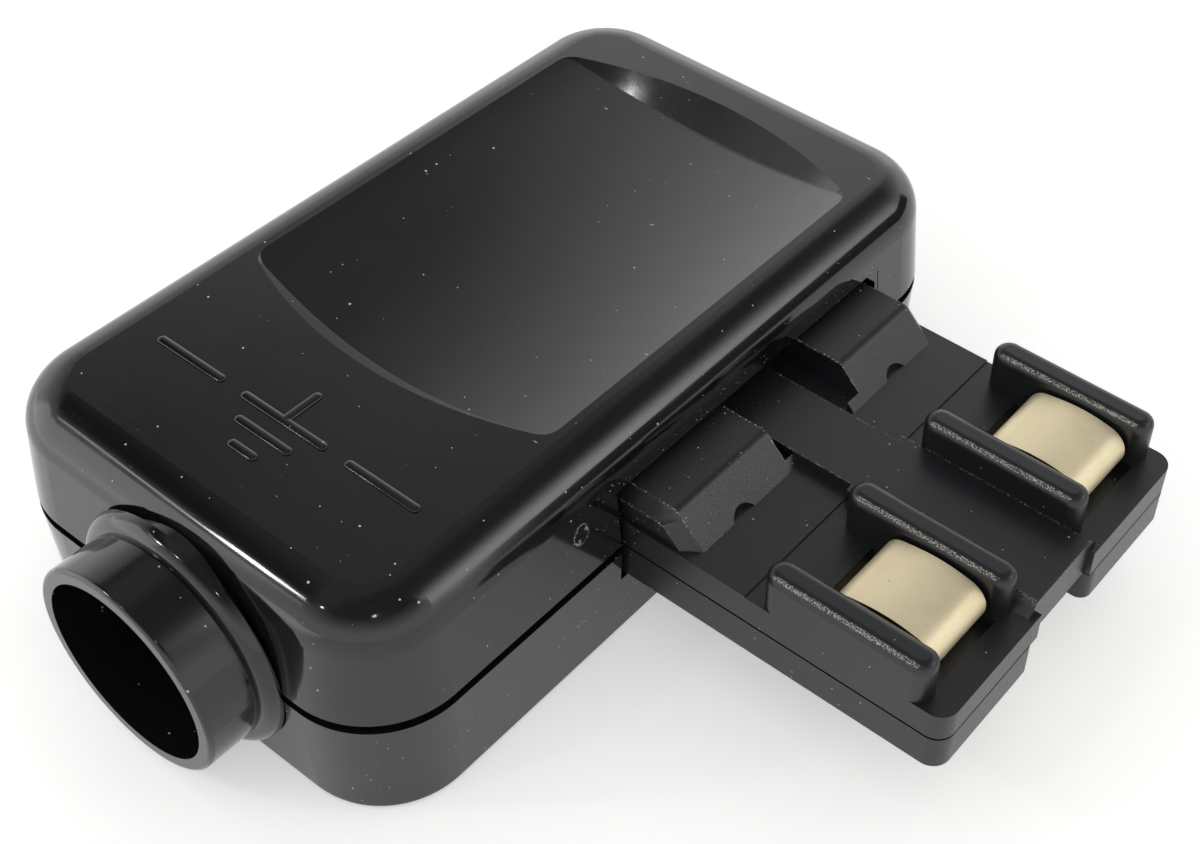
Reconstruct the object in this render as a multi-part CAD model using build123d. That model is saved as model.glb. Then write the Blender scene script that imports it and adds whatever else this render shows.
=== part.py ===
from build123d import *
import math
import os

# A flat grounded plug. Two moulded shells close on a parting plane and hold a two-plate tongue,
# which leaves the right-hand wall and carries the contacts. The cord enters at the short front wall.
# X runs out along the tongue, Y from the cord end to the far end, Z up. Millimetres and degrees.
# The origin is the middle of the body's flat underside.

# Body
body_length = 56.0
body_width = 33.0
body_height = 16.5
parting_height = 8.1
corner_radius = 6.1
wall = 2.0
top_wall = 2.0
floor_wall = 2.0
upper_draft = 5.0
lower_draft = 2.4
top_edge_radius = 3.0
foot_edge_radius = 0.5
inner_edge_radius = 1.0

# Shadow groove and locating lip at the parting plane
groove_height = 0.7
groove_depth = 0.8
lip_width = 0.5
lip_height = 1.0
lip_clearance = 0.1
lip_gap = 0.7

# Finger recess in the top face: a shallow trough along Y between two bowed ends
recess_half_width = 12.5
recess_front = -12.1
recess_rear = 22.6
recess_front_bow = 2.7
recess_rear_bow = 2.6
recess_corner_radius = 1.4
recess_depth = 1.75
recess_end_slope = 45.0
recess_pan = 1.6

# Cord collar, half on each shell
collar_x = 1.1
collar_length = 4.4
collar_bore_radius = 6.1
collar_wall = 0.95
collar_foot_radius = 1.0
collar_rim_radius = 0.3

# Tongue: a lower and an upper plate that meet at the parting height
tongue_y = 5.7
tongue_reach = 22.9
tongue_width = 26.0
plate_lower = 2.5
tongue_corner_radius = 1.2
pad_height = 2.05
root_height = 2.15
centre_height = 2.9
centre_half_width = 3.0
centre_root_half_width = 2.45
centre_setback = 0.4
centre_foot = 0.85
centre_foot_lead = 1.0
pad_corner_radius = 0.8
channel_start = 8.9
tongue_clearance = 0.4
opening_lead = 1.0

# Ribs beside the two live contacts
rib_pitch = 8.0
rib_width = 2.0
rib_height = 5.1
rib_start = 9.9
rib_end_gap = 1.6
rib_edge_radius = 0.65

# Wedges at the tongue's root, one behind each channel
ramp_height = 4.3
ramp_top_length = 2.9
ramp_near_edge = 2.4
ramp_far_edge = 10.2
ramp_crest_radius = 0.8
ramp_side_inset = 0.25
ramp_side_bevel = 0.85
ramp_bevel_slope = 45.0
ramp_toe_length = 1.2
ramp_toe_height = 0.55
ramp_bite_width = 2.0
ramp_bite_depth = 0.5

# Keyway in the lower plate, where the earth contact shows
keyway_width = 6.2
keyway_length = 13.5

# Contact strips
strip_thickness = 0.8
strip_width = 5.4
tail_width = 4.0
strip_clearance = 0.15
neck_setback = 1.5
tail_overlap = 0.2
live_rise = 13.4
live_front = 20.9
live_crown = 4.55
live_arch = 0.35
live_heel_radius = 1.0
live_curl_radius = 1.1
live_crown_radius = 9.0
live_nose_bulge = 0.35
live_nose_drop = 0.2
live_curl_tuck = 1.0
live_curl_drop = 2.7
live_pocket_length = 2.4
live_pocket_depth = 0.9
backing_width = 4.4
backing_inset = 1.8
earth_start = 10.6
earth_front = 21.0
earth_crown = 1.5
earth_arch = 0.25
earth_middle_shift = 0.8
earth_slope_length = 2.2
earth_lift_length = 2.0
earth_bend_radii = (1.2, 2.0, 12.0, 2.0)
earth_slot_extra = 2.5

# The tongue's inner end, which holds the terminals
carrier_length = 14.0
carrier_margin = 0.3
carrier_inner_height = 4.0
flange_thickness = 1.6
flange_rise = 1.3
flange_clearance = 0.45
foot_width = 1.6
foot_room = 0.3
terminal_pitch = 8.0
terminal_width = 5.6
terminal_length = 6.2
terminal_height = 5.2
terminal_below = 1.4
terminal_inset = 1.6
terminal_clearance = 0.15
window_width = 4.2
window_height = 2.7
wire_hole_radius = 1.6
terminal_screw_radius = 1.5
terminal_screw_length = 3.2
terminal_screw_slot = 0.5
terminal_screw_slot_depth = 0.8
small_chamfer = 0.3

# Screws that hold the tongue's plates together, from below
plate_screw_radius = 0.9
plate_screw_head_radius = 1.6
plate_screw_head_height = 1.0
plate_screw_x = 5.4
plate_screw_rise = 3.2
screw_tip_room = 0.3

# Shell screws, from below, in bosses
boss_radius = 2.5
boss_x = 11.2
boss_near_y = -13.0
boss_far_y = 23.2
shell_screw_radius = 1.2
shell_screw_head_radius = 2.1
shell_screw_head_height = 1.5
shell_screw_depth = 0.7
shell_screw_rise = 4.6
screw_clearance = 0.15
thread_clearance = 0.02
cross_size = 2.4
cross_blade = 0.55
cross_depth = 0.8
cross_depth_share = 0.6
head_round_share = 0.45
tip_chamfer_share = 0.4
boss_guard = 0.3

# Cord clamp: a bar on two posts
clamp_y = -20.0
clamp_spread = 8.2
clamp_post_radius = 2.4
clamp_post_height = 8.6
clamp_bar_depth = 5.0
clamp_bar_thickness = 2.2
clamp_bar_hump = 1.0
clamp_bar_corner_radius = 1.5
clamp_screw_radius = 1.2
clamp_screw_head_radius = 2.1
clamp_screw_head_height = 1.3
clamp_screw_length = 7.0
saddle_height = 2.6
saddle_thickness = 1.2
saddle_spacing = 3.0

# How far a cutting or joining tool runs past the face that it starts from
past = 1.0
bite = 0.5

# Places worked out from the sizes above
half_width = body_width / 2
half_length = body_length / 2
tongue_near = tongue_y - tongue_width / 2
tongue_far = tongue_y + tongue_width / 2
tongue_tip = half_width + tongue_reach
tongue_bottom = parting_height - plate_lower
pad_top = parting_height + pad_height
root_top = parting_height + root_height
centre_top = parting_height + centre_height
ramp_top = parting_height + ramp_height
channel_x = half_width + channel_start
channel_ys = (tongue_y - rib_pitch, tongue_y + rib_pitch)
rib_ys = tuple(tongue_y + rib_pitch * k for k in (-1.5, -0.5, 0.5, 1.5))
collar_outer_radius = collar_bore_radius + collar_wall
carrier_front = half_width - wall - flange_clearance - math.tan(math.radians(upper_draft)) * ramp_height
carrier_back = carrier_front - carrier_length
carrier_top = parting_height + carrier_inner_height
terminal_x = carrier_back + terminal_inset + terminal_length / 2
terminal_bottom = parting_height - terminal_below
terminal_top = terminal_bottom + terminal_height
terminal_ys = {"line": tongue_y - terminal_pitch, "earth": tongue_y, "neutral": tongue_y + terminal_pitch}
boss_places = ((-boss_x, boss_near_y), (boss_x, boss_near_y), (0.0, boss_far_y))
clamp_top = floor_wall + clamp_post_height
plate_screw_ys = (tongue_y - terminal_pitch / 2, tongue_y + terminal_pitch / 2)
plate_screw_place_x = carrier_front - plate_screw_x
clamp_xs = (collar_x - clamp_spread, collar_x + clamp_spread)
neck_x = channel_x - neck_setback
heel_x = half_width + live_rise
nose_x = half_width + live_front
tail_end = terminal_x - terminal_length / 2 + tail_overlap
strip_top = parting_height + strip_thickness


def block(x0, x1, y0, y1, z0, z1):
    """A box between two corners."""
    return Pos((x0 + x1) / 2, (y0 + y1) / 2, (z0 + z1) / 2) * Box(x1 - x0, y1 - y0, z1 - z0)


def upright(radius, x, y, z0, z1):
    """A round bar along Z."""
    return Pos(x, y, z0) * Cylinder(radius, z1 - z0, align=(Align.CENTER, Align.CENTER, Align.MIN))


def along_y(radius, x, z, y0, y1):
    """A round bar along Y."""
    bar = Cylinder(radius, y1 - y0, align=(Align.CENTER, Align.CENTER, Align.MIN))
    return Pos(x, y0, z) * Rot(-90, 0, 0) * bar


def outline(inset=0.0):
    """The body's rounded outline, smaller by the inset on every side."""
    return RectangleRounded(body_width - 2 * inset, body_length - 2 * inset, corner_radius - inset)


def recess(guard=0.0):
    """The finger recess as a tool: a round trough that two bowed ends cut off.

    With a guard it is larger all round, which leaves the pan under it.
    """
    half = recess_half_width + guard
    front = recess_front - guard
    rear = recess_rear + guard
    near_corner = front + recess_front_bow
    far_corner = rear - recess_rear_bow
    border = [
        ThreePointArc((-half, near_corner), (0, front), (half, near_corner)),
        Line((half, near_corner), (half, far_corner)),
        ThreePointArc((half, far_corner), (0, rear), (-half, far_corner)),
        Line((-half, far_corner), (-half, near_corner)),
    ]
    plan = make_face(border)
    plan = fillet(plan.vertices(), recess_corner_radius)
    top = Pos(0, 0, body_height) * plan
    depth = recess_depth + guard
    basin = extrude(top, amount=-depth, taper=recess_end_slope) + extrude(top, amount=past)
    radius = (recess_half_width ** 2 + recess_depth ** 2) / (2 * recess_depth) + guard
    return basin & along_y(radius, 0, body_height - depth + radius, front, rear)


def groove(z0, z1):
    """The band that leaves a dark line round the body where the shells meet."""
    band = outline(-past) - outline(groove_depth)
    return extrude(Pos(0, 0, z0) * band, amount=z1 - z0)


def collar(z0, z1):
    """The cord collar between two heights, with its foot rounded into the front wall."""
    outer = collar_outer_radius
    foot = collar_foot_radius
    profile = [
        Line((0, 0), (outer + foot, 0)),
        RadiusArc((outer + foot, 0), (outer, foot), -foot),
        Line((outer, foot), (outer, collar_length - collar_rim_radius)),
        RadiusArc((outer, collar_length - collar_rim_radius), (outer - collar_rim_radius, collar_length),
                  -collar_rim_radius),
        Line((outer - collar_rim_radius, collar_length), (0, collar_length)),
        Line((0, collar_length), (0, 0)),
    ]
    turned = revolve(make_face(profile), Axis.Y, 360)
    turned = Pos(collar_x, -half_length, parting_height) * Rot(180, 0, 0) * turned
    turned += along_y(outer, collar_x, parting_height, -half_length - bite, -half_length + wall)
    front = -half_length - collar_length - past
    return turned & block(-half_width, half_width, front, -half_length + wall, z0, z1)


def collar_bore():
    """The round way in for the cord, through the collar and the front wall."""
    return along_y(collar_bore_radius, collar_x, parting_height,
                   -half_length - collar_length - past, -half_length + wall + past)


def lip_ring(clearance=0.0):
    """The locating lip round the inside of the wall, open at the collar and at the tongue."""
    outer = wall - lip_width - clearance
    ring = outline(outer) - outline(wall + past)
    height = lip_height + clearance
    solid = extrude(Pos(0, 0, parting_height) * ring, amount=height)
    gap = collar_outer_radius + lip_gap
    low = parting_height - past
    solid -= block(collar_x - gap, collar_x + gap, -half_length - past, 0, low, body_height)
    side_gap = flange_rise + lip_gap
    solid -= block(0, half_width + past, tongue_near - side_gap, tongue_far + side_gap, low, body_height)
    return solid


def tongue_opening():
    """The window in the right-hand wall that the tongue leaves through."""
    edge = tongue_clearance
    return block(half_width - wall - opening_lead, half_width + past, tongue_near - edge, tongue_far + edge,
                 tongue_bottom - edge, ramp_top + edge)


def upper_form():
    """The upper shell's outside: drafted walls and a softly rounded top edge."""
    height = body_height - parting_height
    form = extrude(Pos(0, 0, parting_height) * outline(), amount=height, taper=upper_draft)
    return fillet(form.edges().group_by(Axis.Z)[-1], top_edge_radius)


def upper_shell():
    """The upper shell: a drafted shell with the recess pan, screw bosses and half of the collar."""
    inner_height = body_height - top_wall - parting_height
    cavity = extrude(Pos(0, 0, parting_height) * outline(wall), amount=inner_height, taper=upper_draft)
    cavity = fillet(cavity.edges().group_by(Axis.Z)[-1], inner_edge_radius)
    cavity -= recess(recess_pan)
    shell = upper_form() - cavity - recess()
    for x, y in boss_places:
        shell += upright(boss_radius, x, y, parting_height, body_height - top_wall)
    shell -= groove(parting_height - past, parting_height + groove_height / 2)
    shell += collar(parting_height, body_height)
    shell -= collar_bore()
    for x, y in boss_places:
        shell -= upright(shell_screw_radius + thread_clearance, x, y, parting_height - past,
                         parting_height + shell_screw_rise + screw_tip_room)
    shell -= lip_ring(lip_clearance) - bosses_keep()
    shell -= tongue_opening()
    return shell


def bosses_keep():
    """The bosses as one tool, which the lip and its rebate leave alone."""
    keep = [upright(boss_radius + boss_guard, x, y, 0, body_height) for x, y in boss_places]
    return keep[0] + keep[1:]


def lower_form():
    """The lower shell's outside: it narrows a little towards the flat underside."""
    form = extrude(Pos(0, 0, parting_height) * outline(), amount=-parting_height, taper=lower_draft)
    return fillet(form.edges().group_by(Axis.Z)[0], foot_edge_radius)


def lower_shell():
    """The lower shell: a flat floor, screw bosses, clamp posts, a cord saddle and half of the collar."""
    depth = parting_height - floor_wall
    cavity = extrude(Pos(0, 0, parting_height) * outline(wall), amount=-depth, taper=lower_draft)
    cavity = fillet(cavity.edges().group_by(Axis.Z)[0], inner_edge_radius)
    shell = lower_form() - cavity
    for x, y in boss_places:
        shell += upright(boss_radius, x, y, floor_wall - bite, parting_height)
    for x in clamp_xs:
        shell += upright(clamp_post_radius, x, clamp_y, floor_wall - bite, clamp_top)
    for side in (-1, 1):
        y = clamp_y + side * saddle_spacing / 2
        rib_front, rib_back = y - saddle_thickness / 2, y + saddle_thickness / 2
        saddle = block(*clamp_xs, rib_front, rib_back, floor_wall - bite, floor_wall + saddle_height)
        shell += saddle - along_y(collar_bore_radius, collar_x, floor_wall + collar_bore_radius,
                                  rib_front - past, rib_back + past)
    shell -= groove(parting_height - groove_height / 2, parting_height + past)
    shell += collar(0, parting_height)
    shell += lip_ring() - bosses_keep()
    shell -= collar_bore()
    for x, y in boss_places:
        shell -= upright(shell_screw_radius + screw_clearance, x, y, -past, parting_height + past)
        shell -= upright(shell_screw_head_radius + screw_clearance, x, y, -past,
                         shell_screw_depth + shell_screw_head_height)
    screw_tip = clamp_top + clamp_bar_thickness - clamp_screw_length
    for x in clamp_xs:
        shell -= upright(clamp_screw_radius + thread_clearance, x, clamp_y, screw_tip - screw_tip_room,
                         clamp_top + past)
    shell -= tongue_opening()
    return shell


def plate_outline(x0, x1, y0, y1, radius):
    """A rectangle in plan with its two outer corners rounded."""
    plan = Pos((x0 + x1) / 2, (y0 + y1) / 2) * Rectangle(x1 - x0, y1 - y0)
    corners = plan.vertices().group_by(Axis.X)[-1]
    return fillet(corners, radius)


def flange(z0, z1):
    """The tongue's shoulder behind the wall, which takes the pull."""
    return block(carrier_front - flange_thickness, carrier_front, tongue_near - flange_rise,
                 tongue_far + flange_rise, z0, z1)


def rib(y):
    """One round-ended guard rib with softened top edges."""
    x0 = half_width + rib_start
    x1 = tongue_tip - rib_end_gap
    plan = Pos((x0 + x1) / 2, y) * SlotOverall(x1 - x0, rib_width)
    bar = extrude(Pos(0, 0, parting_height + past) * plan, amount=rib_height - past)
    return fillet(bar.edges().group_by(Axis.Z)[-1], rib_edge_radius)


def ramp(outer, inner, channel_y):
    """One wedge at the root: a flat top, a slope to the floor, a bevel on its outer side and a toe inside."""
    start = carrier_front - flange_thickness
    top_end = half_width + ramp_top_length
    foot = top_end + ramp_top - root_top
    low = parting_height + bite
    away = math.copysign(1, outer - inner)
    side = outer - away * (ramp_side_inset + ramp_side_bevel)
    profile = make_face(Polyline((start, low), (start, ramp_top), (top_end, ramp_top), (foot, root_top),
                                 (foot, low), close=True))
    crest = profile.vertices().group_by(Axis.Y)[-1].sort_by(Axis.X)[-1]
    face = Plane.XZ * fillet(crest, ramp_crest_radius)
    wedge = Pos(0, side, 0) * extrude(face, amount=away * abs(side - inner))
    wedge += Pos(0, side, 0) * extrude(face, amount=-away * ramp_side_bevel, taper=ramp_bevel_slope)
    toe_back = foot - ramp_toe_height
    toe = Plane.XZ * make_face(Polyline((toe_back, low), (toe_back, root_top + ramp_toe_height),
                                        (foot, root_top), (foot, low), close=True))
    wedge += Pos(0, inner, 0) * extrude(toe, amount=away * ramp_toe_length)
    half = ramp_bite_width / 2
    radius = (half ** 2 + ramp_bite_depth ** 2) / (2 * ramp_bite_depth)
    return wedge - upright(radius, foot - ramp_bite_depth + radius, channel_y, root_top, ramp_top)


def live_path():
    """The centre line of a live contact: a flat tail, a heel, a low arch and a curl at the front."""
    lift = strip_thickness / 2
    heel = heel_x + lift
    nose = nose_x - lift
    crown = parting_height + live_crown
    points = [
        (tail_end, parting_height + lift),
        (heel, parting_height + lift),
        (heel, crown - lift - live_arch),
        ((heel + nose) / 2, crown - lift + live_arch / 2),
        (nose + live_nose_bulge, crown - lift - live_arch - live_nose_drop),
        (nose - live_curl_tuck, crown - live_curl_drop),
    ]
    return points, [live_heel_radius, live_heel_radius, live_crown_radius, live_curl_radius]


def earth_path():
    """The centre line of the earth contact, which bows down into the keyway."""
    lift = strip_thickness / 2
    start = half_width + earth_start
    nose = half_width + earth_front
    crown = parting_height - earth_crown
    points = [
        (tail_end, parting_height + lift),
        (start, parting_height + lift),
        (start + earth_slope_length, crown + earth_arch + lift),
        ((start + nose) / 2 + earth_middle_shift, crown + lift),
        (nose - earth_lift_length, crown + earth_arch + lift),
        (nose, parting_height - strip_thickness),
    ]
    return points, earth_bend_radii


def rounded(points, radii):
    """Straight runs through the points, with a tangent arc of its own radius at each inner one."""
    edges = []
    start = points[0]
    for before, corner, after, radius in zip(points, points[1:], points[2:], radii):
        into = (corner - before).normalized()
        out = (after - corner).normalized()
        half_turn = math.acos(into.dot(out)) / 2
        setback = radius * math.tan(half_turn)
        inward = (out - into).normalized()
        middle = corner + inward * (radius / math.cos(half_turn) - radius)
        edges.append(Line(start, corner - into * setback))
        edges.append(ThreePointArc(corner - into * setback, middle, corner + out * setback))
        start = corner + out * setback
    edges.append(Line(start, points[-1]))
    return edges


def sheet_side(points, radii, shift):
    """One side of a bent sheet: its centre line moved sideways, with each bend kept concentric."""
    centre = [Vector(*point) for point in points]
    steps = [(b - a).normalized() for a, b in zip(centre, centre[1:])]
    normals = [Vector(-step.Y, step.X) for step in steps]
    moved = []
    for k, point in enumerate(centre):
        before = normals[max(k - 1, 0)]
        after = normals[min(k, len(normals) - 1)]
        moved.append(point + (before + after) * (shift / (1 + before.dot(after))))
    turns = [math.copysign(1, a.cross(b).Z) for a, b in zip(steps, steps[1:])]
    bends = [radius - turn * shift for radius, turn in zip(radii, turns)]
    return rounded(moved, bends)


def strip(path, y):
    """A bent metal strip from its centre line: full width past the neck, and a narrow tail before it."""
    points, radii = path
    upper = sheet_side(points, radii, strip_thickness / 2)
    lower = sheet_side(points, radii, -strip_thickness / 2)
    ends = [Line(upper[-1] @ 1, lower[-1] @ 1), Line(lower[0] @ 0, upper[0] @ 0)]
    section = make_face(upper + lower + ends)
    solid = extrude(Plane.XZ * section, amount=strip_width / 2, both=True)
    for y0, y1 in ((-strip_width, -tail_width / 2), (tail_width / 2, strip_width)):
        solid -= block(tail_end - past, neck_x, y0, y1, parting_height - past, strip_top + past)
    return Pos(0, y, 0) * solid


def contact(name):
    """The line, earth or neutral contact strip."""
    if name == "earth":
        return strip(earth_path(), tongue_y)
    return strip(live_path(), terminal_ys[name])


def tongue_upper():
    """The upper plate with its ribs, ramps and slots, and the upper half of the terminal carrier."""
    body = carrier_block(parting_height, carrier_top)
    root_start = carrier_front - past
    centre_near, centre_far = tongue_y - centre_half_width, tongue_y + centre_half_width
    plan = plate_outline(root_start, tongue_tip, tongue_near, tongue_far, tongue_corner_radius)
    floor = extrude(Pos(0, 0, parting_height) * plan, amount=pad_height)
    floor += block(root_start, channel_x, tongue_near, tongue_far, parting_height, root_top)
    floor += block(root_start, channel_x + past, tongue_y - centre_root_half_width,
                   tongue_y + centre_root_half_width, parting_height, centre_top)
    floor += block(channel_x, tongue_tip, centre_near, centre_far, parting_height, centre_top)
    floor -= block(tongue_tip - centre_setback, tongue_tip + past, centre_near, centre_far,
                   parting_height - past, centre_top + past)
    body += floor
    body += centre_feet()
    body += ramp(tongue_near, ramp_near_edge, channel_ys[0])
    body += ramp(tongue_far, ramp_far_edge, channel_ys[1])
    for y in rib_ys:
        body += rib(y) & block(0, tongue_tip, tongue_near, tongue_far, 0, body_height)
    for y in channel_ys:
        body += contact_backing(y)
    body += flange(parting_height, ramp_top)
    body -= strip_slots()
    for y in terminal_ys.values():
        body -= terminal_pocket(y, body_height)
        body -= wire_hole(y)
    for y in plate_screw_ys:
        body -= upright(plate_screw_radius + thread_clearance, plate_screw_place_x, y,
                        parting_height - past, parting_height + plate_screw_rise + screw_tip_room)
    return body


def centre_feet():
    """The slanted feet at the front of the centre block's two sides, beyond the inner ribs."""
    half = centre_half_width
    foot = half + centre_foot
    section = [(-foot, pad_top - bite), (-foot, pad_top), (-half, centre_top), (half, centre_top),
               (foot, pad_top), (foot, pad_top - bite)]
    face = Plane.YZ * make_face(Polyline(*section, close=True))
    front = tongue_tip - centre_setback
    length = rib_end_gap + centre_foot_lead - centre_setback
    return Pos(front - length, tongue_y, 0) * extrude(face, amount=length)


def carrier_block(z0, z1):
    """The tongue's inner end, from behind the terminals to the wall."""
    near = tongue_near + carrier_margin
    far = tongue_far - carrier_margin
    return block(carrier_back, carrier_front, near, far, z0, z1)


def contact_backing(y):
    """The raised pad that a live contact's arch rests over."""
    x0 = heel_x + strip_thickness + backing_inset
    x1 = nose_x - strip_thickness - backing_inset
    top = parting_height + live_crown - strip_thickness - live_arch - strip_clearance
    return block(x0, x1, y - backing_width / 2, y + backing_width / 2, parting_height + past, top)


def strip_slots():
    """The ways for the three strips, cut up from the upper plate's underside."""
    gap = strip_clearance
    low = parting_height - past
    top = strip_top + gap
    wide = strip_width / 2 + gap
    narrow = tail_width / 2 + gap
    heel_back = heel_x + strip_thickness + gap
    slots = []
    for name, y in terminal_ys.items():
        slots.append(block(carrier_back + past, neck_x + bite, y - narrow, y + narrow, low, top))
        if name == "earth":
            end = half_width + earth_start + earth_slot_extra
            slots.append(block(neck_x - gap, end, y - wide, y + wide, low, top))
            continue
        slots.append(block(neck_x - gap, heel_back, y - wide, y + wide, low, top))
        slots.append(block(heel_x - live_heel_radius, heel_back, y - wide, y + wide, low, root_top + past))
        slots.append(block(nose_x - live_pocket_length, nose_x + gap, y - wide, y + wide,
                           pad_top - live_pocket_depth, root_top + past))
    return slots[0] + slots[1:]


def terminal_pocket(y, top):
    """Room for one terminal block."""
    gap = terminal_clearance
    return block(terminal_x - terminal_length / 2 - gap, terminal_x + terminal_length / 2 + gap,
                 y - terminal_width / 2 - gap, y + terminal_width / 2 + gap, terminal_bottom, top)


def wire_hole(y):
    """The way for a conductor through the wall behind its terminal."""
    z = strip_top + window_height / 2
    bar = Cylinder(wire_hole_radius, terminal_inset + 2 * past)
    return Pos(carrier_back + terminal_inset / 2, y, z) * Rot(0, 90, 0) * bar


def tongue_lower():
    """The lower plate with its keyway, and the lower half of the terminal carrier on its two feet."""
    root_start = carrier_front - past
    plan = plate_outline(root_start, tongue_tip, tongue_near, tongue_far, tongue_corner_radius)
    body = extrude(Pos(0, 0, tongue_bottom) * plan, amount=plate_lower)
    body -= block(tongue_tip - keyway_length, tongue_tip + past, tongue_y - keyway_width / 2,
                  tongue_y + keyway_width / 2, tongue_bottom - past, parting_height + past)
    mouth = body.edges().filter_by(Axis.Z).group_by(Axis.X)[-1]
    inner = [edge for edge in mouth if abs(edge.center().Y - tongue_y) < keyway_width]
    body = fillet(inner, pad_corner_radius)
    body += carrier_block(tongue_bottom, parting_height)
    body += flange(tongue_bottom - flange_rise, parting_height)
    for y in (tongue_near + carrier_margin, tongue_far - carrier_margin - foot_width):
        body += block(carrier_back, carrier_front - inner_edge_radius - foot_room, y, y + foot_width,
                      floor_wall, tongue_bottom)
    for y in terminal_ys.values():
        body -= terminal_pocket(y, parting_height + past)
    for y in plate_screw_ys:
        body -= upright(plate_screw_radius + screw_clearance, plate_screw_place_x, y, 0, body_height)
        body -= upright(plate_screw_head_radius + screw_clearance, plate_screw_place_x, y, 0,
                        tongue_bottom + plate_screw_head_height)
    return body


def terminal(y):
    """A brass box terminal: a window for strip and wire, and a tapped hole in its top."""
    solid = Pos(terminal_x, y, terminal_bottom) * Box(
        terminal_length, terminal_width, terminal_height, align=(Align.CENTER, Align.CENTER, Align.MIN))
    solid = chamfer(solid.edges().group_by(Axis.Z)[-1], small_chamfer)
    solid -= block(terminal_x - terminal_length, terminal_x + terminal_length, y - window_width / 2,
                   y + window_width / 2, parting_height, strip_top + window_height)
    solid -= upright(terminal_screw_radius + thread_clearance, terminal_x, y, strip_top, terminal_top + past)
    return solid


def terminal_screw(y):
    """A headless slotted screw, driven down on the conductor."""
    top = strip_top + terminal_screw_length
    solid = upright(terminal_screw_radius, terminal_x, y, strip_top, top)
    solid = chamfer(solid.edges().group_by(Axis.Z)[0], small_chamfer)
    half = terminal_screw_slot / 2
    return solid - block(terminal_x - 2 * terminal_screw_radius, terminal_x + 2 * terminal_screw_radius,
                         y - half, y + half, top - terminal_screw_slot_depth, top + past)


def cross_recess(depth):
    """The cross-shaped driver recess, as a tool on the plane z = 0, going up."""
    half = cross_size / 2
    blade = cross_blade / 2
    return block(-half, half, -blade, blade, 0, depth) + block(-blade, blade, -half, half, 0, depth)


def screw(x, y, z, head_radius, head_height, radius, length, up):
    """A pan-head screw whose head's bearing face is at z. With up, its shank goes up."""
    head = Cylinder(head_radius, head_height, align=(Align.CENTER, Align.CENTER, Align.MAX))
    head = fillet(head.edges().group_by(Axis.Z)[0], head_height * head_round_share)
    shank = Cylinder(radius, length, align=(Align.CENTER, Align.CENTER, Align.MIN))
    shank = chamfer(shank.edges().group_by(Axis.Z)[-1], radius * tip_chamfer_share)
    depth = min(cross_depth, head_height * cross_depth_share)
    solid = head + shank - Pos(0, 0, -head_height) * cross_recess(depth)
    turn = Rot(0, 0, 0) if up else Rot(180, 0, 0)
    return Pos(x, y, z) * turn * solid


def shell_screw(place):
    """A screw from below, through the lower shell's boss and into the upper shell's."""
    x, y = place
    seat = shell_screw_depth + shell_screw_head_height
    length = parting_height + shell_screw_rise - seat
    return screw(x, y, seat, shell_screw_head_radius, shell_screw_head_height,
                 shell_screw_radius, length, True)


def plate_screw(y):
    """A screw from below that holds the tongue's two plates together."""
    seat = tongue_bottom + plate_screw_head_height
    length = parting_height + plate_screw_rise - seat
    return screw(plate_screw_place_x, y, seat, plate_screw_head_radius, plate_screw_head_height,
                 plate_screw_radius, length, True)


def clamp_screw(x):
    """A screw from above, through the clamp bar and into its post."""
    seat = clamp_top + clamp_bar_thickness
    return screw(x, clamp_y, seat, clamp_screw_head_radius, clamp_screw_head_height,
                 clamp_screw_radius, clamp_screw_length, False)


def cord_clamp_bar():
    """The clamp bar: flat ends under the screws and a shallow saddle between them."""
    half = clamp_spread + clamp_post_radius
    bar = Pos(collar_x, clamp_y, clamp_top) * Box(
        2 * half, clamp_bar_depth, clamp_bar_thickness, align=(Align.CENTER, Align.CENTER, Align.MIN))
    bar = fillet(bar.edges().filter_by(Axis.Z), clamp_bar_corner_radius)
    for x in clamp_xs:
        bar -= upright(clamp_screw_radius + screw_clearance, x, clamp_y, clamp_top - past,
                       clamp_top + clamp_bar_thickness + past)
    half_chord = clamp_spread - clamp_post_radius
    radius = (half_chord ** 2 + clamp_bar_hump ** 2) / (2 * clamp_bar_hump)
    return bar - along_y(radius, collar_x, clamp_top - radius + clamp_bar_hump,
                         clamp_y - clamp_bar_depth, clamp_y + clamp_bar_depth)


def build():
    """Every piece of the plug, by name."""
    nodes = {
        "upper_shell": upper_shell(),
        "lower_shell": lower_shell(),
        "tongue_upper": tongue_upper(),
        "tongue_lower": tongue_lower(),
        "cord_clamp_bar": cord_clamp_bar(),
        "clamp_screw_left": clamp_screw(clamp_xs[0]),
        "clamp_screw_right": clamp_screw(clamp_xs[1]),
    }
    for name, y in terminal_ys.items():
        nodes[name + "_contact"] = contact(name)
        nodes[name + "_terminal"] = terminal(y)
        nodes[name + "_terminal_screw"] = terminal_screw(y)
    for place, word in zip(boss_places, ("left", "right", "far")):
        nodes["shell_screw_" + word] = shell_screw(place)
    for y, word in zip(plate_screw_ys, ("near", "far")):
        nodes["tongue_screw_" + word] = plate_screw(y)
    return nodes


def main():
    """Builds every piece and writes one file for each."""
    os.makedirs("parts", exist_ok=True)
    for name, solid in build().items():
        solid.label = name
        export_step(solid, os.path.join("parts", name + ".step"))


main()
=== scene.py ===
"""The looks of a flat grounded plug: its finishes, its moulded marks, a pale stage and the camera.

Everything is in metres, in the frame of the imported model: X runs out along the tongue, Y from the cord
end to the far end, Z up from the underside.
"""
import math

import bmesh
import bpy
import numpy as np
from bpy.props import FloatProperty, FloatVectorProperty, PointerProperty
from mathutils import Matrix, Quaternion, Vector


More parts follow.
